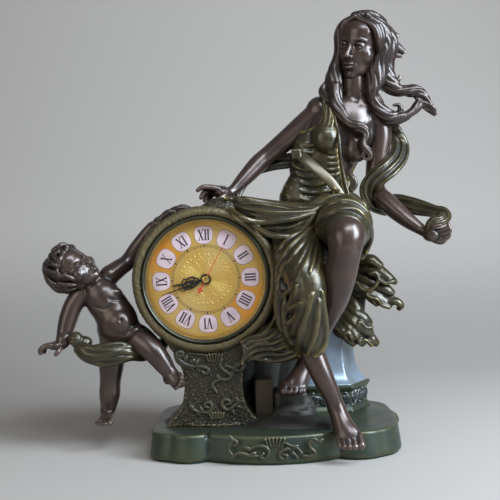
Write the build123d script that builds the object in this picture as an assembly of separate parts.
"""Figural mantel clock: a seated woman and a putto in cast resin beside a drum that holds a quartz clock.

Millimetres. +Z is up, the dial faces -Y, and the origin is the centre of the face that the clock stands on.
"""
import os
from math import atan2, cos, degrees, hypot, radians, sin, sqrt

from build123d import *

# Base casting
BASE_HALF_WIDTH = 122.0
BASE_BACK_Y = 86.0
BASE_LOBE_Y = -74.0
BASE_BULGE = 13.0
LOBE_LEFT_X = -64.0
LOBE_RIGHT_X = 56.0
BASE_CORNER = 26.0
BASE_H = 25.5
BASE_DRAFT = 3.0
BASE_WALL = 13.0
BASE_ROOF = 7.0
FELT_T = 1.5
FELT_INSET = 2.0
BASE_TOP = FELT_T + BASE_H

# Drum and pedestal
DIAL_X = -66.0
DIAL_RISE = 139.0
DRUM_R = 70.0
DRUM_FRONT = -40.0
DRUM_DEPTH = 60.0
RECESS_R = 58.2
RECESS_DEPTH = 8.0
BORE_R = 45.0
CREST_HALF_WIDTH = 19.0
CREST_H = 11.0
CREST_X = 18.0
PEDESTAL_X = -61.0
PEDESTAL_FOOT = 46.0
PEDESTAL_WAIST = 27.0
PEDESTAL_SHOULDER = 48.0
PEDESTAL_WAIST_RISE = 36.0
PEDESTAL_INSET = 4.0
DIAL_Z = BASE_TOP + DIAL_RISE
DRUM_BACK = DRUM_FRONT + DRUM_DEPTH
DRUM_MID = DRUM_FRONT + DRUM_DEPTH / 2

# Seat: hexagonal plinth, column and the step under the left foot
SEAT_X = 53.0
SEAT_Y = 40.0
PLINTH_SIDE = 46.0
PLINTH_H = 28.0
COLUMN_H = 140.0
COLUMN_FLARE = 44.0
COLUMN_NECK = 30.0
COLUMN_SEAT = 33.0
STEP_W = 34.0
STEP_D = 40.0
STEP_H = 29.0
STEP_X = 13.0
STEP_Y = -12.0
SIDE_STEP_W = 18.0
SIDE_STEP_H = 40.0
SIDE_STEP_D = 30.0
SEAT_Z = BASE_TOP + PLINTH_H + COLUMN_H

# Clear space that the drapery leaves in front of the dial
DIAL_VIEW = 80.0

# Clock insert
FIT_GAP = 0.2
DIAL_T = 0.6
REFLECTOR_W = 3.2
BEZEL_R = 60.0
BEZEL_T = 4.2
BEZEL_LIP = 3.0
LENS_T = 1.8
LENS_RISE = 5.0
BUSH_R = 4.0
BUSH_BORE = 2.4
BUSH_PROUD = 1.6
NUT_ACROSS = 11.0
NUT_T = 1.4
WASHER_R = 10.0
WASHER_T = 0.8

# Hands
CLOCK_HOURS = 8
CLOCK_MINUTES = 42
CLOCK_SECONDS = 5
DIAL_TURN = -1.6
HAND_T = 0.4
HAND_GAP = 0.45
HOUR_HAND = 34.0
MINUTE_HAND = 45.0
SECOND_HAND = 37.0
SECOND_TAIL = 12.0

# Quartz movement
CASE_SIDE = 56.0
CASE_DEPTH = 16.0
CASE_WALL = 1.2
PLATE_T = 1.5
RUN_GAP = 0.08
ARBOR_R = 0.6
PIVOT_DEPTH = 0.8
CANNON_R = 1.15
HOUR_TUBE_R = 2.3
WHEEL_T = 0.8
LAYER = 2.0
MODULE = 0.3
ADDENDUM = 0.8
DEDENDUM = 1.15
KNOB_R = 6.5
KNOB_T = 4.6
KNOB_SHAFT_R = 1.2
KNOB_RIBS = 18
BATTERY_D = 14.5
BATTERY_LENGTH = 50.5
BATTERY_TIP = 1.2
BATTERY_Z = -19.3
BAY_GAP = 0.35
CONTACT_T = 0.4
MAGNET_R = 2.8
MAGNET_T = 2.0
STATOR_T = 0.8
STATOR_RIM = 1.8
COIL_R = 3.6
COIL_LENGTH = 20.0
BOARD_T = 1.0

# Tooth counts of the train, wheel then pinion
ROTOR_PINION = 10
FIFTH_WHEEL, FIFTH_PINION = 50, 10
SECOND_WHEEL, SECOND_PINION = 60, 8
THIRD_WHEEL, THIRD_PINION = 60, 8
CENTRE_WHEEL, CANNON_PINION = 64, 12
MOTION_WHEEL, MOTION_PINION = 36, 10
HOUR_WHEEL, KNOB_PINION = 40, 12

FOLD_SUNK = 0.1
# Cloth: ridge radius, then X and Z along each fold, which lies on the front of its form
THIGH_ROLLS = (
    (3.2, ((44, 206), (47, 216), (56, 222), (68, 222), (78, 214), (82, 205))),
    (4, ((40, 214), (52, 227), (70, 229), (84, 217), (92, 201), (90, 189))),
    (3.6, ((38, 224), (52, 236), (70, 238), (86, 227), (94, 209))),
)
LAP_FOLDS = (
    (2.8, ((36, 212), (26, 205), (13, 193), (3, 178), (0, 166))),
    (2.6, ((38, 209), (28, 197), (17, 181), (7, 164))),
    (2.4, ((40, 204), (33, 190), (26, 173))),
    (3, ((31, 150), (27, 138), (22, 122), (20, 106))),
    (2.8, ((37, 146), (35.5, 130), (32, 112))),
    (2.8, ((40, 152), (42, 136), (42, 120), (40, 107))),
    (2.6, ((3, 160), (1, 144), (3, 126), (9, 112))),
)
HEM_WAVES = (
    (2.6, ((-3, 124), (-12, 115), (-22, 110), (-31, 104))),
    (2.6, ((8, 112), (-4, 106), (-14, 105), (-23, 102), (-31, 96))),
    (2.6, ((14, 102), (2, 97), (-10, 97), (-20, 94))),
)
SWAG_FOLDS = (
    (3.8, ((-40, 241), (-22, 238), (5, 234), (34, 231), (50, 234))),
    (3.8, ((-36, 236), (-22, 231), (-1, 227.5), (22, 227), (38, 229))),
    (4, ((-32, 229), (-20, 221), (-5, 217), (12, 217), (27, 221), (40, 227))),
    (3.8, ((-14, 215), (-2, 209), (14, 207), (27, 212), (36, 221))),
)
# Outline of the right armhole, from the middle of the seat
ARMHOLE = (
    (-53, 0, 114), (-33, 0, 114), (-15, 0, 118), (-6, 0, 122),
    (0, 0, 131), (1.5, 0, 145), (-1, 0, 161), (-53, 0, 161),
)
# Curled cloth ends behind the seat, from the middle of the seat
RUFFLE_CURLS = (
    (
        (17, -14, -5, 6.5), (31, -22, -13, 6.5), (44, -26, -15, 6.5), (55, -26, -20, 6),
        (54, -24, -29, 5.5), (45, -24, -32, 5),
    ),
    (
        (23, -16, -19, 5.5), (33, -24, -34, 5.5), (42, -26, -47.5, 5.5), (52, -26, -45, 5.5),
        (55, -25, -32, 5),
    ),
    (
        (37, -18, -45, 5.5), (48, -22, -56, 5.5), (60, -24, -54, 5.5), (69, -22, -42, 5),
        (65, -20, -32, 4.5),
    ),
    (
        (45, -18, -55, 4.8), (55, -22, -61, 4.8), (64, -22, -65.5, 4.8), (73, -20, -62.5, 4.4),
        (77, -18, -57, 4),
    ),
    (
        (27, -22, -57, 4.6), (23, -28, -67, 4.6), (18, -31, -74, 4.6), (23, -31, -80, 4.6),
        (27, -30, -76, 4),
    ),
    (
        (29, -24, -69, 4.6), (21, -31, -82, 4.6), (13, -32, -82, 4.6), (17, -31, -91, 4.6),
        (24, -30, -90, 4),
    ),
    (
        (33, -22, -77, 4.6), (30, -28, -86, 4.6), (24, -30, -95.5, 4.6), (31, -29, -98, 4.4),
        (35, -27, -93, 4),
    ),
    (
        (37, -20, -83, 4.6), (46, -22, -97, 4.4), (52, -22, -102, 4.2), (55, -20, -98, 3.8),
    ),
)
# Dowels that hold the separate castings
DOWEL_R = 2.0
DOWEL_LENGTH = 22.0

parts = {}


def facing(x, y, z):
    """A sketch plane at a point that faces the viewer, with X to the right and Z up."""
    return Plane(origin=(x, y, z), x_dir=(1, 0, 0), z_dir=(0, -1, 0))


def slab(sketch, x, z, front, back):
    """A flat outline as a plate between two depths, placed on an axis that runs along Y."""
    return extrude(facing(x, back, z) * sketch, amount=back - front)


def rod(x, z, front, back, radius, bore=0.0):
    """A round bar along Y, or a tube where a bore is given."""
    sketch = Circle(radius)
    if bore:
        sketch -= Circle(bore)
    return slab(sketch, x, z, front, back)


def block(low, high):
    """A box from its lowest corner to its highest."""
    size = [h - l for l, h in zip(low, high)]
    middle = [(h + l) / 2 for l, h in zip(low, high)]
    return Pos(*middle) * Box(*size)


def section_plane(point, along):
    """A plane across a limb whose start never spins about the limb."""
    side = Vector(0, 1, 0) - along * along.Y
    if side.length < 0.2:
        side = Vector(1, 0, 0) - along * along.X
    return Plane(origin=point, x_dir=side.normalized(), z_dir=along)


def limb(points, flatten=1.0, span=None):
    """A smooth limb through (x, y, z, radius) points, each with a flatness of its own where a fifth value
    gives it. Its ends are rounded by balls that sit just inside. A path that turns sharply is lofted in
    spans, each over that many lengths between its points."""
    centres = [Vector(*p[:3]) for p in points]
    flats = [p[4] if len(p) > 4 else flatten for p in points]
    sections = []
    for i, centre in enumerate(centres):
        before = centres[max(i - 1, 0)]
        after = centres[min(i + 1, len(centres) - 1)]
        plane = section_plane(centre, (after - before).normalized())
        sections.append(plane * Ellipse(points[i][3] * flats[i], points[i][3]))
    step = span or len(sections) - 1
    body = loft(sections[:step + 1])
    for i in range(step, len(sections) - 1, step):
        body += loft(sections[i:i + step + 1])
    for end in (0, -1):
        body += Pos(*centres[end]) * Sphere(points[end][3] * min(flats[end], 1.0) * 0.96)
    return body


def fold(form, points, thick):
    """A ridge of cloth through X and Z points, laid on the front of a form as far as the form reaches."""
    path = []
    for x, z in points:
        hits = form.find_intersection_points(Axis((x, -200, z), (0, 1, 0)))
        if hits:
            front = min(point.Y for point, _ in hits)
            path.append((x, front + thick * FOLD_SUNK, z, thick))
    return limb(path)


def spheroid(centre, radius, half_length, turn=(0, 0, 0)):
    """A ball stretched along its own upright axis, turned and placed."""
    half = Ellipse(radius, half_length) & Pos(radius, 0) * Rectangle(2 * radius, 2 * half_length)
    return Pos(*centre) * Rot(*turn) * revolve(Plane.XZ * half, Axis.Z)


def from_seat(*points):
    """Points given from the middle of the seat, as points of the whole clock."""
    return [(SEAT_X + x, SEAT_Y + y, SEAT_Z + z, *rest) for x, y, z, *rest in points]


def from_drum(*points):
    """Points given from the drum's left side at mid depth, as points of the whole clock."""
    left = DIAL_X - DRUM_R
    return [(left + x, DRUM_MID + y, DIAL_Z + z, *rest) for x, y, z, *rest in points]


def trimmed(shape, *names):
    """The shape with the space of earlier parts cut out, as its largest single solid."""
    for name in names:
        shape = shape - parts[name]
    return max(shape.solids(), key=lambda s: s.volume)


# Base

def base_outline(inset=0.0):
    """Plan of the base: three lobes along the front and rounded corners behind."""
    side = BASE_HALF_WIDTH - inset
    back = BASE_BACK_Y - inset
    front = BASE_LOBE_Y + inset
    middle = (LOBE_LEFT_X + LOBE_RIGHT_X) / 2
    bulge = (middle, front - BASE_BULGE)
    turn = BASE_CORNER * (1 - sqrt(0.5))
    right = side - BASE_CORNER
    edges = ThreePointArc((LOBE_LEFT_X, front), bulge, (LOBE_RIGHT_X, front))
    edges += Line((LOBE_RIGHT_X, front), (right, front))
    edges += ThreePointArc((right, front), (side - turn, front + turn), (side, front + BASE_CORNER))
    edges += Line((side, front + BASE_CORNER), (side, back - BASE_CORNER))
    edges += ThreePointArc((side, back - BASE_CORNER), (side - turn, back - turn), (right, back))
    edges += Line((right, back), (-right, back))
    edges += ThreePointArc((-right, back), (turn - side, back - turn), (-side, back - BASE_CORNER))
    edges += Line((-side, back - BASE_CORNER), (-side, front + BASE_CORNER))
    edges += ThreePointArc((-side, front + BASE_CORNER), (turn - side, front + turn), (-right, front))
    edges += Line((-right, front), (LOBE_LEFT_X, front))
    return make_face(edges)


def make_base():
    """The hollow base casting and the felt that closes it and rests on the shelf."""
    foot = Pos(0, 0, FELT_T) * base_outline()
    body = loft([foot, Pos(0, 0, BASE_TOP) * base_outline(BASE_DRAFT)], ruled=True)
    hollow_w = 2 * (BASE_HALF_WIDTH - BASE_WALL)
    hollow_d = BASE_BACK_Y - BASE_LOBE_Y - 2 * BASE_WALL
    hollow_y = (BASE_BACK_Y + BASE_LOBE_Y) / 2
    hollow = RectangleRounded(hollow_w, hollow_d, BASE_CORNER - BASE_WALL)
    body -= extrude(Pos(0, hollow_y, FELT_T) * hollow, amount=BASE_H - BASE_ROOF)
    parts["base_casting"] = body
    parts["base_felt"] = extrude(base_outline(FELT_INSET), amount=FELT_T)


# Drum, crest and pedestal

def make_drum():
    """The drum casting: a thick ring, recessed in front for the dial and open behind for the movement."""
    drum = rod(DIAL_X, DIAL_Z, DRUM_FRONT, DRUM_BACK, DRUM_R, BORE_R)
    drum -= rod(DIAL_X, DIAL_Z, DRUM_FRONT, DRUM_FRONT + RECESS_DEPTH, RECESS_R)
    parts["clock_drum"] = drum
    crest_x = DIAL_X + CREST_X
    low = DIAL_Z + DRUM_R * 0.8
    high = DIAL_Z + DRUM_R + CREST_H
    crest = block(
        (crest_x - CREST_HALF_WIDTH, DRUM_FRONT + PEDESTAL_INSET, low),
        (crest_x + CREST_HALF_WIDTH, DRUM_BACK - PEDESTAL_INSET, high),
    )
    crest = fillet(crest.edges().filter_by(Axis.Y).group_by(Axis.Z)[-1], CREST_H * 0.8)
    parts["drum_crest"] = crest - rod(DIAL_X, DIAL_Z, DRUM_FRONT, DRUM_BACK, DRUM_R)


def make_pedestal():
    """The waisted pedestal, which carries the drum in a saddle of the drum's own radius."""
    top = DIAL_RISE - DRUM_R * 0.72
    waist = PEDESTAL_WAIST_RISE
    foot_mid = (PEDESTAL_FOOT * 0.30 + PEDESTAL_WAIST * 0.70, waist * 0.42)
    head_mid = (PEDESTAL_SHOULDER * 0.22 + PEDESTAL_WAIST * 0.78, waist + (top - waist) * 0.52)
    right_low = Spline((PEDESTAL_FOOT, 0), foot_mid, (PEDESTAL_WAIST, waist))
    right_high = Spline((PEDESTAL_WAIST, waist), head_mid, (PEDESTAL_SHOULDER, top))
    lid = Line((PEDESTAL_SHOULDER, top), (-PEDESTAL_SHOULDER, top))
    left_high = mirror(right_high, about=Plane.YZ)
    left_low = mirror(right_low, about=Plane.YZ)
    floor = Line((-PEDESTAL_FOOT, 0), (PEDESTAL_FOOT, 0))
    outline = make_face(right_low + right_high + lid + left_high + left_low + floor)
    body = slab(outline, PEDESTAL_X, BASE_TOP, DRUM_FRONT + PEDESTAL_INSET, DRUM_BACK - PEDESTAL_INSET)
    parts["clock_pedestal"] = body - rod(DIAL_X, DIAL_Z, DRUM_FRONT, DRUM_BACK, DRUM_R)


# Seat

def make_seat():
    """Hexagonal plinth and flared column that the woman sits on, and the steps and rock beside them."""
    base = Pos(SEAT_X, SEAT_Y, BASE_TOP)
    parts["seat_plinth"] = extrude(base * RegularPolygon(PLINTH_SIDE, 6), amount=PLINTH_H)
    profile = (
        (0.0, COLUMN_FLARE),
        (COLUMN_H * 0.05, COLUMN_FLARE - (COLUMN_FLARE - COLUMN_NECK) * 0.45),
        (COLUMN_H * 0.13, COLUMN_FLARE - (COLUMN_FLARE - COLUMN_NECK) * 0.82),
        (COLUMN_H * 0.26, COLUMN_NECK),
        (COLUMN_H * 0.80, COLUMN_NECK),
        (COLUMN_H, COLUMN_SEAT),
    )
    foot = BASE_TOP + PLINTH_H
    rings = [Pos(SEAT_X, SEAT_Y, foot + rise) * RegularPolygon(r, 6) for rise, r in profile]
    parts["seat_column"] = loft(rings, ruled=True)
    step = block(
        (STEP_X - STEP_W / 2, STEP_Y - STEP_D / 2, BASE_TOP),
        (STEP_X + STEP_W / 2, STEP_Y + STEP_D / 2, BASE_TOP + STEP_H),
    )
    side_x = STEP_X - STEP_W / 2
    step += block(
        (side_x - SIDE_STEP_W, STEP_Y + STEP_D / 2 - SIDE_STEP_D, BASE_TOP),
        (side_x, STEP_Y + STEP_D / 2, BASE_TOP + SIDE_STEP_H),
    )
    step += limb(from_seat(
        (-87, -36, -165, 12), (-86, -34, -129, 10), (-78, -32, -91, 11), (-51, -30, -77, 13),
    ), flatten=0.8)
    step += limb(from_seat((-73, -22, -165, 20), (-65, -20, -125, 20), (-57, -18, -87, 20)), flatten=0.6)
    step += limb(from_seat((-45, -18, -165, 22), (-39, -16, -119, 20), (-37, -14, -73, 22)), flatten=0.6)
    parts["foot_steps"] = trimmed(step, "seat_plinth", "seat_column", "clock_pedestal", "clock_drum",
                                  "base_casting")


# Woman

def make_woman():
    """The seated woman as separate castings: torso, head, hair, arms, legs and drapery."""
    torso = limb(from_seat(
        (5, -6, 5, 33, 0.76), (-1, -11, 27, 33, 0.72), (-4, -14, 45, 32, 0.7),
        (-4, -17, 63, 28, 0.71), (2, -20, 87, 30, 0.66), (13, -22, 110, 33, 0.6),
        (26, -21, 130, 33, 0.54), (33, -19, 143, 26, 0.56), (36, -20, 153, 13, 0.85),
        (35.5, -23, 163, 10.8, 1), (34.5, -25, 179, 10.6, 1),
    ))
    for middle, radius in zip(from_seat((28, -35, 99), (3, -34, 108)), (11.5, 12.0)):
        torso += Pos(*middle) * Sphere(radius)
    parts["woman_torso"] = trimmed(torso, "seat_column")
    (head,) = from_seat((41.5, -25, 202.5))
    skull = spheroid(head, 24, 29, (0, 12, 0))
    (jaw,) = from_seat((33.5, -34, 187))
    skull += spheroid(jaw, 14.5, 18, (0, 14, 0))
    parts["woman_head"] = trimmed(skull, "woman_torso")
    make_woman_hair(head)
    make_woman_arms()
    make_woman_legs()
    make_bodice()
    make_skirt()
    make_loose_cloth()


def make_woman_hair(head):
    """Hair drawn back over the skull, with long tresses blown to the right and one over the breast."""
    x, y, z = head
    hair = spheroid((x + 5, y + 6, z + 6), 27, 30, (0, 13, 0))
    side = from_seat(
        (59, -36, 214, 7), (63, -32, 197, 9), (61, -31, 181, 9.5), (56, -31, 167, 9),
        (54, -31, 155, 8), (57, -31, 146, 7),
    )
    upper = from_seat(
        (64, -26, 193, 8), (67, -24, 177, 8.5), (70, -24, 163, 7.5), (78, -24, 154.5, 6.5),
        (88, -25, 155, 5.5), (96.5, -25, 153, 5), (104.5, -26, 146, 4), (112.5, -27, 135, 2.4),
    )
    lower = from_seat(
        (54, -31, 148, 6), (60, -31, 138.5, 6.5), (69.7, -30, 128.5, 6), (81.5, -29, 127.5, 5.5),
        (92, -28, 134, 4.5), (102, -27, 144, 3.5),
    )
    left = from_seat(
        (27, -36, 222, 6), (21, -33, 207, 7.5), (18, -31, 192, 7.5), (15.5, -29, 177, 7.5),
        (12.5, -29, 165, 8), (13, -32, 156, 7),
    )
    chest = from_seat(
        (14, -34, 155, 6), (16.5, -40, 140, 5.5), (20, -44, 127, 5.5), (29, -47, 119, 5.2),
        (38, -48, 112, 5.2), (38.5, -48.5, 103, 4.6), (40.5, -48, 94, 4), (43, -46, 87, 2.6),
    )
    knot = from_seat(
        (67, -16, 207, 9), (78, -16, 206, 7), (86, -18, 198, 4.5),
    )
    for path in (knot, side, upper, lower, left, chest):
        hair += limb(path, span=2)
    parts["woman_hair"] = trimmed(hair, "woman_head", "woman_torso")


def make_woman_arms():
    """Right arm down to the drum's crest, left arm hanging out to the side with the scarf in its hand."""
    right = limb(from_seat((7, -16, 145, 15), (-22, -17, 123, 13), (-54, -20, 98, 10.5),
                           (-72, -30, 79, 10), (-87, -39, 61, 7)))
    right += limb(from_seat((-86, -38, 62, 7), (-99, -46, 62, 9), (-109, -50, 60, 8), (-119, -53, 58, 4.5)),
                  flatten=1.0)
    parts["woman_right_arm"] = trimmed(right, "woman_torso", "woman_hair", "drum_crest", "clock_drum")
    left = limb(from_seat((63, -14, 127, 15), (60, -16, 90, 13), (53, -20, 52, 11),
                          (71, -36, 33, 10.5), (91, -54, 13, 7)))
    left += limb(from_seat((90, -53, 14, 7), (103, -62, 11, 9), (113, -67, 10, 6)))
    parts["woman_left_arm"] = trimmed(left, "woman_torso", "woman_hair")


def make_woman_legs():
    """Left leg bare from the thigh, crossing behind the right one, which comes out below the skirt."""
    left = limb(from_seat((24, -10, 14, 25), (19, -62, 16, 22), (13, -108, 8, 17.5)))
    left += limb(from_seat((12.5, -110, 8, 17.5), (6, -106, -20, 15.5), (-3, -92, -48, 15),
                           (-17, -72, -86, 10), (-26.5, -61, -111, 8)))
    left += limb(from_seat((-26.5, -61, -111, 8.5), (-31, -68, -123, 10), (-37, -76, -133, 8)))
    parts["woman_left_leg"] = trimmed(left, "woman_torso", "seat_column", "foot_steps")
    right = limb(from_seat((-24, -102, -76, 14.5), (-18, -104, -95, 12.5), (-9, -106, -118, 10),
                           (1.5, -108, -147, 8.5)))
    right += limb(from_seat((1.5, -108, -148, 9.5), (6, -121, -163, 11), (9, -132, -174, 9.5)))
    parts["woman_right_leg"] = trimmed(right, "woman_left_leg", "base_casting")


def make_bodice():
    """The fitted top that leaves the left shoulder bare, with its rolled neckline and the sash."""
    bodice = limb(from_seat(
        (-4, -14, 45, 34.3, 0.72), (-4, -17, 63, 30.3, 0.732), (2, -20, 87, 32.3, 0.684),
        (13, -22, 110, 35.3, 0.626), (26, -21, 130, 35.3, 0.57), (33, -19, 143, 28.3, 0.596),
    ))
    bodice += limb(from_seat(
        (-19, -28, 117, 6), (-26, -30, 104, 7), (-31, -31, 89, 7.5), (-35, -31, 69, 8.5),
        (-43, -34, 47, 10),
    ))
    (breast,) = from_seat((3, -37, 108))
    bodice += Pos(*breast) * Sphere(15.5)
    neckline = from_seat(
        (4, -32, 157, 2.2), (12, -38.5, 147, 2.6), (17.5, -42.5, 137, 2.8), (16.5, -48, 123, 2.8),
        (15.6, -51.5, 109, 2.8), (16.6, -49.5, 95, 2.8), (18.8, -45.5, 80, 3), (24, -44, 67, 3.4),
        (31, -42, 59.5, 4),
    )
    shoulder = neckline[0]
    waist = neckline[-1]
    far_right = waist[0] + 60
    bare = [(p[0], p[2]) for p in neckline]
    bare += [(far_right, waist[2] - 40), (far_right, shoulder[2] + 20)]
    bodice -= slab(make_face(Polyline(*bare, close=True)), 0, 0, -60, shoulder[1] + 12)
    armhole = [(p[0], p[2]) for p in from_seat(*ARMHOLE)]
    bodice -= slab(make_face(Polyline(*armhole, close=True)), 0, 0, -60, 90)
    bodice += limb(neckline, span=2)
    bodice += limb(from_seat(
        (-27, -43, 91, 6.2), (-17, -49.5, 85, 6.2), (-5, -53.5, 74.5, 6.2), (6, -53.5, 60.5, 6.2),
        (18, -51, 43, 6.2),
    ), flatten=0.4)
    parts["dress_bodice"] = trimmed(bodice, "woman_torso", "woman_hair", "woman_right_arm",
                                    "woman_left_arm", "seat_column", "woman_left_leg")


def make_skirt():
    """Skirt over the lap and the right leg, with the rolls above the bare knee and the blown hem."""
    thigh = limb(from_seat(
        (5, -6, 19, 34), (10, -36, 19, 32.5), (13, -66, 18, 29), (12, -92, 16, 24.5),
        (11, -108, 13.5, 20.5),
    ))
    thigh += limb(from_seat(
        (25, -16, 41, 16), (31, -28, 29, 14), (35, -44, 13, 12), (35, -54, -1, 8), (33, -54, -10, 5),
    ))
    lap = limb(from_seat(
        (-17, -10, 19, 34), (-24, -46, 8, 31), (-29, -78, -7, 27), (-27, -104, -24, 21),
        (-24.5, -114, -37, 17.5),
    ))
    lap += limb(from_seat(
        (-24.5, -114, -37, 17.5), (-24.5, -113, -55, 16.5), (-26, -110, -75, 16),
        (-22, -108, -92, 13.5),
    ))
    lap += limb(from_seat(
        (-37, -70, 11, 10), (-45, -76, -15, 12), (-45, -78, -43, 12.5), (-43, -86, -71, 12),
        (-35, -96, -95, 9),
    ))
    lap += limb(from_seat(
        (-13, -34, 1, 24), (-15, -46, -35, 20), (-19, -58, -65, 15), (-27, -74, -83, 11),
    ))
    hem = limb(from_seat(
        (-33, -90, -91, 10), (-45, -86, -87, 14), (-59, -84, -89, 13), (-72, -83, -94, 10),
        (-83, -85, -99, 5.5),
    ), flatten=0.5)
    hem += limb(from_seat(
        (-49, -82, -71, 9), (-61, -82, -82, 9), (-75, -82, -88, 6),
    ), flatten=0.6)
    skirt = thigh + lap + hem
    for form, ridges in ((thigh, THIGH_ROLLS), (lap, LAP_FOLDS), (hem, HEM_WAVES)):
        for thick, points in ridges:
            skirt += fold(form, points, thick)
    skirt -= rod(DIAL_X, DIAL_Z, DRUM_FRONT - DIAL_VIEW, DRUM_FRONT, BEZEL_R + 1.0)
    parts["woman_skirt"] = trimmed(skirt, "dress_bodice", "woman_torso", "woman_left_leg",
                                   "woman_right_leg", "clock_drum", "clock_pedestal", "seat_column",
                                   "seat_plinth", "foot_steps")


def make_loose_cloth():
    """Swag to the drum, loop behind the right arm, scarf round the left arm and curled ends behind."""
    cloth = limb(from_seat(
        (-95, -62, 46, 6), (-79, -74, 39, 8), (-59, -78, 29, 13), (-39, -78, 24, 15),
        (-21, -76, 27, 14), (-3, -68, 37, 12),
    ), flatten=0.55)
    swag = cloth
    for thick, points in SWAG_FOLDS:
        swag += fold(cloth, points, thick)
    parts["lap_swag"] = trimmed(swag, "woman_skirt", "dress_bodice", "woman_torso", "woman_right_arm",
                                "clock_drum", "drum_crest", "woman_left_leg")
    loop = limb(from_seat((-20, -16, 91, 9), (-50, -14, 87, 8), (-76, -17, 79, 7.5), (-86, -26, 64, 7),
                          (-90, -35, 52, 6)), flatten=0.6)
    parts["sleeve_drape"] = trimmed(loop, "woman_torso", "dress_bodice", "woman_right_arm", "drum_crest",
                                    "clock_drum", "lap_swag")
    wrap = from_seat(
        (64, -10, 120, 5), (71.5, -15, 112.5, 8), (81, -21, 101.5, 9), (76, -32, 87, 9.5),
        (63, -37, 74, 9.5), (49.5, -35, 64, 9.5), (44, -30, 53, 9), (50, -24, 43.5, 8.5),
        (63, -16, 42, 8),
    )
    band = from_seat(
        (63, -16, 42, 8), (77, -16, 47, 8), (93, -28, 38, 8), (106, -42, 32, 7.5),
        (115, -53, 28.5, 6.5), (112, -65, 23, 5.5), (103, -68, 17, 5), (97, -62, 8, 4.5),
    )
    scarf = limb(wrap, flatten=0.45, span=2) + limb(band, flatten=0.5, span=2)
    parts["arm_scarf"] = trimmed(scarf, "woman_left_arm", "woman_torso", "woman_hair", "woman_skirt",
                                 "woman_left_leg")
    tails = limb(from_seat(
        (7, -6, 5, 14), (19, -10, -13, 13), (31, -12, -33, 11), (41, -12, -49, 8),
    ), flatten=0.7)
    tails += limb(from_seat(
        (37, -14, -43, 9), (33, -16, -57, 9), (31, -16, -73, 10), (34, -14, -84, 10), (41, -12, -93, 7),
    ), flatten=0.7)
    for curl in RUFFLE_CURLS:
        tails += limb(from_seat(*curl), flatten=0.65, span=2)
    parts["back_ruffles"] = trimmed(tails, "woman_skirt", "woman_torso", "dress_bodice", "woman_left_leg",
                                    "seat_column", "seat_plinth", "arm_scarf", "woman_left_arm")


# Putto

def make_putto():
    """The putto that hangs on the drum's left side, as separate castings."""
    torso = from_drum((-42, -8, -3, 9), (-37, -6, -12, 18), (-31, -6, -22, 20), (-19, -7, -44, 20.5),
                      (-14, -3, -62, 21), (-13, -2, -74, 15))
    parts["putto_torso"] = trimmed(limb(torso, flatten=0.82), "clock_drum")
    (head,) = from_drum((-61, -12, 13))
    skull = spheroid(head, 20.5, 23.5, (0, -62, 0))
    (cheek,) = from_drum((-46, -17, 8))
    skull += Pos(*cheek) * Sphere(14.0)
    parts["putto_head"] = trimmed(skull, "putto_torso")
    right = limb(from_drum((-54, -8, -14, 10), (-63, -10, -31, 9), (-69, -10, -46, 8), (-71, -16, -58, 6)))
    right += limb(from_drum((-71, -16, -58, 6), (-80, -19, -64, 6.5), (-90, -21, -68, 4)))
    parts["putto_right_arm"] = trimmed(right, "putto_torso", "putto_head")
    left = limb(from_drum((-27, 4, 5, 10), (-8, 12, 27, 9), (11, 12, 49, 7.5), (25, 6, 60, 6.5)))
    parts["putto_left_arm"] = trimmed(left, "putto_torso", "putto_head", "clock_drum", "drum_crest")
    right_leg = limb(from_drum((-22, -2, -68, 14), (-26, -3, -86, 12), (-28, -4, -100, 10.5),
                               (-31, -1, -116, 9.5), (-33, 2, -127, 7)))
    right_leg += limb(from_drum((-33, 2, -127, 7.5), (-32, -8, -132, 7.5), (-31, -16, -134, 6)))
    parts["putto_right_leg"] = trimmed(right_leg, "putto_torso")
    left_leg = limb(from_drum((-4, -6, -60, 16), (10, -19, -68, 15), (21, -26, -75, 12.5)))
    left_leg += limb(from_drum((20, -25.6, -74, 12), (28, -25, -84, 10.5), (36, -23, -94, 7.5)))
    left_leg += limb(from_drum((35, -23, -93, 7), (40, -25, -98, 7), (45, -27, -102, 6)))
    parts["putto_left_leg"] = trimmed(left_leg, "putto_torso", "clock_drum", "clock_pedestal")
    drape = limb(from_drum((-68, -22, -60, 8.5), (-50, -26, -70, 9), (-24, -30, -74, 10), (0, -26, -76, 9)))
    drape += limb(from_drum((-64, -20, -62, 8), (-48, 6, -68, 9), (-22, 19, -70, 10)))
    drape += limb(from_drum((-23, 18.6, -70, 9.6), (8, 17, -68, 11), (36, 12, -63, 10)))
    parts["putto_drape"] = trimmed(drape, "putto_torso", "putto_right_leg", "putto_left_leg",
                                   "putto_right_arm", "clock_drum", "clock_pedestal")


def drill_dowels():
    """Steel dowels across the glue joints of the putto's forearm and foot and the woman's shoulders."""
    putto = []
    for middle, turn in zip(from_drum((16, 12, 45), (49, -24, -100)), (-50, 90)):
        putto.append(Pos(*middle) * Rot(0, turn, 0) * Cylinder(DOWEL_R, DOWEL_LENGTH * 0.6))
    shoulders = []
    for middle, turn in zip(from_seat((12, -16, 143), (58, -14, 130)), (-50, 60)):
        shoulders.append(Pos(*middle) * Rot(0, turn, 0) * Cylinder(DOWEL_R, DOWEL_LENGTH))
    for pins, drilled in (
        (putto, ("putto_left_arm", "clock_drum", "putto_left_leg", "clock_pedestal")),
        (shoulders, ("woman_torso", "woman_right_arm", "woman_left_arm", "woman_hair", "dress_bodice")),
    ):
        for name in drilled:
            for pin in pins:
                parts[name] = max((parts[name] - pin).solids(), key=lambda s: s.volume)
    parts["putto_dowels"] = Compound(putto)
    parts["shoulder_dowels"] = Compound(shoulders)


# Clock insert

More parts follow.
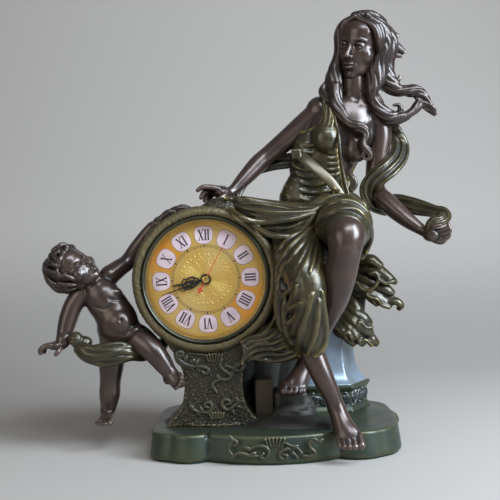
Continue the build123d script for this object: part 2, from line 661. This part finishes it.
def make_insert():
    """Dial plate, reflector ring, domed lens and bezel, seated in the drum's front recess."""
    seat = DRUM_FRONT + RECESS_DEPTH
    dial_front = seat - DIAL_T
    dial_r = RECESS_R - FIT_GAP
    parts["dial_plate"] = rod(DIAL_X, DIAL_Z, dial_front, seat, dial_r, BUSH_R + FIT_GAP)
    lens_back = DRUM_FRONT
    parts["reflector_ring"] = rod(DIAL_X, DIAL_Z, lens_back, dial_front, dial_r, dial_r - REFLECTOR_W)
    lens_r = BEZEL_R - BEZEL_LIP
    dome_r = (lens_r ** 2 + LENS_RISE ** 2) / (2 * LENS_RISE)
    centre_y = lens_back + dome_r - LENS_RISE
    inner = Pos(DIAL_X, centre_y, DIAL_Z) * Sphere(dome_r)
    outer = Pos(DIAL_X, centre_y - LENS_T, DIAL_Z) * Sphere(dome_r)
    disc = rod(DIAL_X, DIAL_Z, lens_back - LENS_RISE - LENS_T, lens_back, lens_r)
    parts["dial_lens"] = disc & outer - inner
    bezel = rod(DIAL_X, DIAL_Z, DRUM_FRONT - BEZEL_T, DRUM_FRONT, BEZEL_R, lens_r - BEZEL_LIP)
    bezel = fillet(bezel.edges().group_by(Axis.Y)[0], BEZEL_T * 0.3)
    parts["bezel"] = bezel - disc
    nut = RegularPolygon(NUT_ACROSS / 2 / cos(radians(30)), 6) - Circle(BUSH_R)
    parts["dial_nut"] = slab(nut, DIAL_X, DIAL_Z, dial_front - NUT_T, dial_front)
    parts["rubber_washer"] = rod(DIAL_X, DIAL_Z, seat, seat + WASHER_T, WASHER_R, BUSH_R)


# Gears

def tooth_outline(teeth, module, phase):
    """A toothed wheel's outline with straight flanks; phase is the angle of one tooth's middle."""
    pitch = 360.0 / teeth
    tip = module * (teeth / 2 + ADDENDUM)
    root = module * (teeth / 2 - DEDENDUM)
    points = []
    for i in range(teeth):
        middle = phase + i * pitch
        for radius, share in ((root, -0.27), (tip, -0.10), (tip, 0.10), (root, 0.27)):
            angle = radians(middle + share * pitch)
            points.append((radius * cos(angle), radius * sin(angle)))
    return Polygon(*points, align=None)


def polar(radius, angle):
    """An offset in the dial's plane, X then Z."""
    return radius * cos(radians(angle)), radius * sin(radians(angle))


def meshed(phase, teeth, direction, mate_teeth):
    """The mate's phase, so that its gap stands opposite the tooth that points at it."""
    share = (direction - phase) * teeth / 360.0
    return direction + 180.0 - (0.5 - share) * 360.0 / mate_teeth


def gear(axis, teeth, module, phase, front, back, bore):
    """A toothed wheel between two depths on an axis of the movement."""
    x, z = axis
    return slab(tooth_outline(teeth, module, phase) - Circle(bore), x, z, front, back)


class Movement:
    """Depths and axes of the quartz movement, worked out from the dial's place."""

    front = DRUM_FRONT + RECESS_DEPTH + WASHER_T
    back = front + CASE_DEPTH
    inside = front + PLATE_T
    rear_inside = back - CASE_WALL
    hour_y = inside + 0.3
    motion_y = hour_y + WHEEL_T + 0.6
    centre_y = motion_y + WHEEL_T + 0.8
    third_y = centre_y + LAYER
    second_y = third_y + LAYER
    fifth_y = second_y + LAYER
    centre = (DIAL_X, DIAL_Z)
    third_reach = MODULE * (SECOND_PINION + THIRD_WHEEL) / 2
    centre_module = 2 * third_reach / (THIRD_PINION + CENTRE_WHEEL)
    motion_reach = MODULE * (CANNON_PINION + MOTION_WHEEL) / 2
    hour_module = 2 * motion_reach / (MOTION_PINION + HOUR_WHEEL)
    fifth_reach = MODULE * (FIFTH_PINION + SECOND_WHEEL) / 2
    rotor_reach = MODULE * (ROTOR_PINION + FIFTH_WHEEL) / 2
    knob_reach = MODULE * (KNOB_PINION + MOTION_WHEEL) / 2
    third_way, fifth_way, rotor_way, motion_way, knob_way = 0.0, 90.0, 150.0, 180.0, 135.0

    @staticmethod
    def step(start, reach, way):
        """The axis that lies at a reach and direction from another."""
        dx, dz = polar(reach, way)
        return start[0] + dx, start[1] + dz


Movement.third = Movement.step(Movement.centre, Movement.third_reach, Movement.third_way)
Movement.fifth = Movement.step(Movement.centre, Movement.fifth_reach, Movement.fifth_way)
Movement.rotor = Movement.step(Movement.fifth, Movement.rotor_reach, Movement.rotor_way)
Movement.motion = Movement.step(Movement.centre, Movement.motion_reach, Movement.motion_way)
Movement.knob = Movement.step(Movement.motion, Movement.knob_reach, Movement.knob_way)


def make_going_train():
    """Rotor, fifth, second, third and centre wheels, each a wheel and pinion on its arbor."""
    m = Movement
    front_pivot = m.inside - PIVOT_DEPTH
    rear_pivot = m.rear_inside + PIVOT_DEPTH
    second_front = hand_depths()[2]
    second = rod(*m.centre, second_front, rear_pivot, ARBOR_R)
    second += gear(m.centre, SECOND_WHEEL, MODULE, m.fifth_way, m.second_y, m.second_y + WHEEL_T, ARBOR_R)
    second += gear(m.centre, SECOND_PINION, MODULE, m.third_way, m.third_y - 0.2, m.second_y, ARBOR_R)
    parts["second_wheel"] = second
    phase = meshed(m.third_way, SECOND_PINION, m.third_way, THIRD_WHEEL)
    third = rod(*m.third, front_pivot, rear_pivot, ARBOR_R)
    third += gear(m.third, THIRD_WHEEL, MODULE, phase, m.third_y, m.third_y + WHEEL_T, ARBOR_R)
    third += gear(m.third, THIRD_PINION, m.centre_module, m.third_way + 180, m.centre_y - 0.2, m.third_y,
                  ARBOR_R)
    parts["third_wheel"] = third
    phase = meshed(m.third_way + 180, THIRD_PINION, m.third_way + 180, CENTRE_WHEEL)
    parts["centre_wheel"] = gear(m.centre, CENTRE_WHEEL, m.centre_module, phase, m.centre_y,
                                 m.centre_y + WHEEL_T, CANNON_R + RUN_GAP)
    phase = meshed(m.fifth_way, SECOND_WHEEL, m.fifth_way, FIFTH_PINION)
    fifth = rod(*m.fifth, front_pivot, rear_pivot, ARBOR_R)
    fifth += gear(m.fifth, FIFTH_PINION, MODULE, phase, m.second_y - 0.2, m.fifth_y, ARBOR_R)
    fifth += gear(m.fifth, FIFTH_WHEEL, MODULE, m.rotor_way, m.fifth_y, m.fifth_y + WHEEL_T, ARBOR_R)
    parts["fifth_wheel"] = fifth
    phase = meshed(m.rotor_way, FIFTH_WHEEL, m.rotor_way, ROTOR_PINION)
    rotor = rod(*m.rotor, front_pivot, rear_pivot, ARBOR_R)
    rotor += gear(m.rotor, ROTOR_PINION, MODULE, phase, m.fifth_y - 0.2, m.fifth_y + WHEEL_T + 0.2, ARBOR_R)
    rotor += rod(*m.rotor, m.third_y - MAGNET_T, m.third_y, MAGNET_R, ARBOR_R)
    parts["rotor"] = rotor


def make_motion_work():
    """Cannon pinion, motion wheel, hour wheel and the setting knob that turns them."""
    m = Movement
    hour_front, minute_front, _ = hand_depths()
    cannon = rod(*m.centre, minute_front, m.centre_y + WHEEL_T, CANNON_R, ARBOR_R + RUN_GAP)
    cannon += gear(m.centre, CANNON_PINION, MODULE, m.motion_way, m.motion_y - 0.2,
                   m.motion_y + WHEEL_T + 0.2, CANNON_R)
    parts["cannon_pinion"] = cannon
    motion_phase = meshed(m.motion_way, CANNON_PINION, m.motion_way, MOTION_WHEEL)
    motion = gear(m.motion, MOTION_WHEEL, MODULE, motion_phase, m.motion_y, m.motion_y + WHEEL_T,
                  ARBOR_R + RUN_GAP)
    motion += gear(m.motion, MOTION_PINION, m.hour_module, m.motion_way + 180, m.hour_y - 0.1, m.motion_y,
                   ARBOR_R + RUN_GAP)
    parts["motion_wheel"] = motion
    phase = meshed(m.motion_way + 180, MOTION_PINION, m.motion_way + 180, HOUR_WHEEL)
    hour = rod(*m.centre, hour_front, m.hour_y + WHEEL_T, HOUR_TUBE_R, CANNON_R + RUN_GAP)
    hour += gear(m.centre, HOUR_WHEEL, m.hour_module, phase, m.hour_y, m.hour_y + WHEEL_T, HOUR_TUBE_R)
    parts["hour_wheel"] = hour
    phase = meshed(motion_phase, MOTION_WHEEL, m.knob_way, KNOB_PINION)
    knob = rod(*m.knob, m.inside - PIVOT_DEPTH, m.back + KNOB_T, KNOB_SHAFT_R)
    knob += gear(m.knob, KNOB_PINION, MODULE, phase, m.motion_y - 0.2,
                 m.motion_y + WHEEL_T + 0.2, KNOB_SHAFT_R)
    grip = Circle(KNOB_R)
    for i in range(KNOB_RIBS):
        grip -= Pos(*polar(KNOB_R, i * 360.0 / KNOB_RIBS)) * Circle(KNOB_R * 0.08)
    knob += slab(grip - Circle(KNOB_SHAFT_R), *m.knob, m.back + FIT_GAP, m.back + KNOB_T)
    parts["setting_knob"] = knob


# Hands

def hand_depths():
    """Front depth of the hour, minute and second hands' tubes and arbor, each ahead of the last."""
    bush_front = DRUM_FRONT + RECESS_DEPTH - DIAL_T - BUSH_PROUD
    hour = bush_front - HAND_GAP - HAND_T
    minute = hour - HAND_GAP - HAND_T
    second = minute - HAND_GAP - HAND_T
    return hour, minute, second


def hand_angle(turns):
    """Direction of a hand from +X, anticlockwise, after a share of a clockwise turn from twelve."""
    return 90.0 - turns * 360.0 - DIAL_TURN


def spade(length, hub_r, bore):
    """A pierced spade hand that points along +X."""
    waist = length * 0.045
    leaf = length * 0.115
    points = [(0, -waist), (length * 0.30, -waist), (length * 0.44, -leaf), (length * 0.58, -waist),
              (length, 0), (length * 0.58, waist), (length * 0.44, leaf), (length * 0.30, waist),
              (0, waist)]
    outline = Polygon(*points, align=None) + Circle(hub_r)
    return outline - Circle(bore) - Pos(length * 0.44, 0) * Circle(leaf * 0.45)


def make_hands():
    """Hour, minute and second hands, pressed on their tubes and arbor."""
    hour_y, minute_y, second_y = hand_depths()
    minutes = CLOCK_MINUTES + CLOCK_SECONDS / 60
    hours = CLOCK_HOURS + minutes / 60
    shapes = (
        ("hour_hand", spade(HOUR_HAND, HOUR_TUBE_R * 1.7, HOUR_TUBE_R), hours / 12, hour_y),
        ("minute_hand", spade(MINUTE_HAND, HOUR_TUBE_R * 1.4, CANNON_R), minutes / 60, minute_y),
    )
    for name, outline, turns, depth in shapes:
        turned = Rot(0, 0, hand_angle(turns)) * outline
        parts[name] = slab(turned, DIAL_X, DIAL_Z, depth, depth + HAND_T)
    width = HAND_T * 0.9
    sweep_hand = Polygon((-SECOND_TAIL, -width), (SECOND_HAND, -width / 2), (SECOND_HAND, width / 2),
                         (-SECOND_TAIL, width), align=None)
    cross = SECOND_TAIL * 0.2
    tail_cross = Rectangle(4 * cross, 1.4 * cross) + Rectangle(1.4 * cross, 4 * cross)
    sweep_hand += Pos(-SECOND_TAIL, 0) * tail_cross
    sweep_hand += Circle(HOUR_TUBE_R * 1.2)
    turned = Rot(0, 0, hand_angle(CLOCK_SECONDS / 60)) * (sweep_hand - Circle(ARBOR_R))
    parts["second_hand"] = slab(turned, DIAL_X, DIAL_Z, second_y, second_y + HAND_T)


# Movement case and its fixed pieces

def make_movement_case():
    """Front plate with its threaded bush, back case with the battery bay, and the pivots in both."""
    m = Movement
    square = Rectangle(CASE_SIDE, CASE_SIDE)
    plate = slab(square - Circle(BUSH_R), *m.centre, m.front, m.inside)
    case = slab(square, *m.centre, m.inside, m.back)
    room_w = CASE_SIDE - 2 * CASE_WALL
    bay_top = BATTERY_Z + BATTERY_D / 2 + BAY_GAP
    room_h = CASE_SIDE / 2 - CASE_WALL - (bay_top + CASE_WALL)
    room_z = (CASE_SIDE / 2 - CASE_WALL + bay_top + CASE_WALL) / 2
    case -= slab(Pos(0, room_z) * Rectangle(room_w, room_h), *m.centre, m.inside, m.rear_inside)
    bay_w = BATTERY_LENGTH + 2 * CONTACT_T + 2 * FIT_GAP
    bay_h = BATTERY_D + 2 * BAY_GAP
    case -= slab(Pos(0, BATTERY_Z) * Rectangle(bay_w, bay_h), *m.centre, m.inside + CASE_WALL, m.back)
    case -= rod(*m.knob, m.inside, m.back, KNOB_SHAFT_R + RUN_GAP)
    for axis in (m.third, m.fifth, m.rotor):
        plate -= rod(*axis, m.inside - PIVOT_DEPTH, m.inside, ARBOR_R + RUN_GAP)
        case -= rod(*axis, m.rear_inside, m.rear_inside + PIVOT_DEPTH, ARBOR_R + RUN_GAP)
    case -= rod(*m.centre, m.rear_inside, m.rear_inside + PIVOT_DEPTH, ARBOR_R + RUN_GAP)
    plate -= rod(*m.knob, m.inside - PIVOT_DEPTH, m.inside, KNOB_SHAFT_R + RUN_GAP)
    plate += rod(*m.motion, m.inside, m.motion_y + WHEEL_T + 0.2, ARBOR_R)
    parts["movement_plate"] = plate
    parts["movement_case"] = case
    bush_front = DRUM_FRONT + RECESS_DEPTH - DIAL_T - BUSH_PROUD
    parts["threaded_bush"] = rod(*m.centre, bush_front, m.inside, BUSH_R, HOUR_TUBE_R + RUN_GAP)


def make_motor():
    """Stator, coil on its bobbin, circuit board and quartz crystal, all fixed in the case."""
    m = Movement
    reach = COIL_LENGTH / 2 + 5.0
    coil_x = DIAL_X + 9.0
    coil_z = DIAL_Z + CASE_SIDE / 2 - CASE_WALL - COIL_R - 0.6
    stator_y = m.third_y - MAGNET_T / 2 - STATOR_T / 2
    arm = COIL_R * 0.9
    left = coil_x - reach
    pole = MAGNET_R + STATOR_RIM
    outline = Pos(coil_x, coil_z) * Rectangle(2 * reach, arm)
    neck_h = coil_z + arm / 2 - m.rotor[1]
    outline += Pos(left + arm / 2, m.rotor[1] + neck_h / 2) * Rectangle(arm, neck_h)
    outline += Pos((left + m.rotor[0]) / 2, m.rotor[1]) * Rectangle(abs(left - m.rotor[0]) + arm, pole)
    outline += Pos(*m.rotor) * Circle(pole)
    outline -= Pos(*m.rotor) * Circle(MAGNET_R + 0.4)
    stator = slab(outline, 0, 0, stator_y, stator_y + STATOR_T)
    half = COIL_LENGTH / 2
    core = block((coil_x - half, stator_y, coil_z - arm / 2),
                 (coil_x + half, stator_y + STATOR_T, coil_z + arm / 2))
    spool_turn = Pos(coil_x, stator_y + STATOR_T / 2, coil_z) * Rot(0, 90, 0)
    flange = Cylinder(COIL_R + 0.4, 1.0)
    bobbin = spool_turn * (Cylinder(COIL_R * 0.62, COIL_LENGTH) + Pos(0, 0, half - 0.5) * flange
                           + Pos(0, 0, 0.5 - half) * flange)
    winding = spool_turn * (Cylinder(COIL_R, COIL_LENGTH - 2.0) - Cylinder(COIL_R * 0.62, COIL_LENGTH))
    parts["stator"] = stator
    parts["coil_bobbin"] = bobbin - core - stator
    parts["coil_winding"] = winding
    board_w = 9.0
    board_x = DIAL_X + CASE_SIDE / 2 - CASE_WALL - board_w
    board_low = DIAL_Z - 6.0
    board_y = m.rear_inside - BOARD_T
    parts["circuit_board"] = block((board_x, board_y, board_low),
                                   (board_x + board_w, m.rear_inside, board_low + 20.0))
    can = Pos(board_x + board_w / 2, board_y - 1.0, board_low + 10.0) * Cylinder(1.0, 6.2)
    parts["quartz_crystal"] = can


def make_battery():
    """The round cell in its bay, and the two spring contacts at its ends."""
    m = Movement
    z = DIAL_Z + BATTERY_Z
    y = m.inside + CASE_WALL + BAY_GAP + BATTERY_D / 2
    body = BATTERY_LENGTH - BATTERY_TIP
    turn = Pos(DIAL_X - BATTERY_TIP / 2, y, z) * Rot(0, 90, 0)
    cell = turn * Cylinder(BATTERY_D / 2, body)
    cell += turn * Pos(0, 0, (body + BATTERY_TIP) / 2) * Cylinder(BATTERY_D * 0.19, BATTERY_TIP)
    parts["battery"] = cell
    contacts = []
    half = BATTERY_LENGTH / 2 + FIT_GAP
    for x in (DIAL_X - half - CONTACT_T, DIAL_X + half):
        low = (x, m.inside + CASE_WALL, z - BATTERY_D * 0.3)
        high = (x + CONTACT_T, m.back - 1.0, z + BATTERY_D * 0.3)
        contacts.append(block(low, high))
    parts["battery_contacts"] = Compound(contacts)


make_base()
make_drum()
make_pedestal()
make_seat()
make_woman()
make_putto()
drill_dowels()
make_insert()
make_going_train()
make_motion_work()
make_hands()
make_movement_case()
make_motor()
make_battery()

os.makedirs("parts", exist_ok=True)
for node, shape in parts.items():
    shape.label = node
    export_step(shape, f"parts/{node}.step")
    print(node, round(shape.volume))
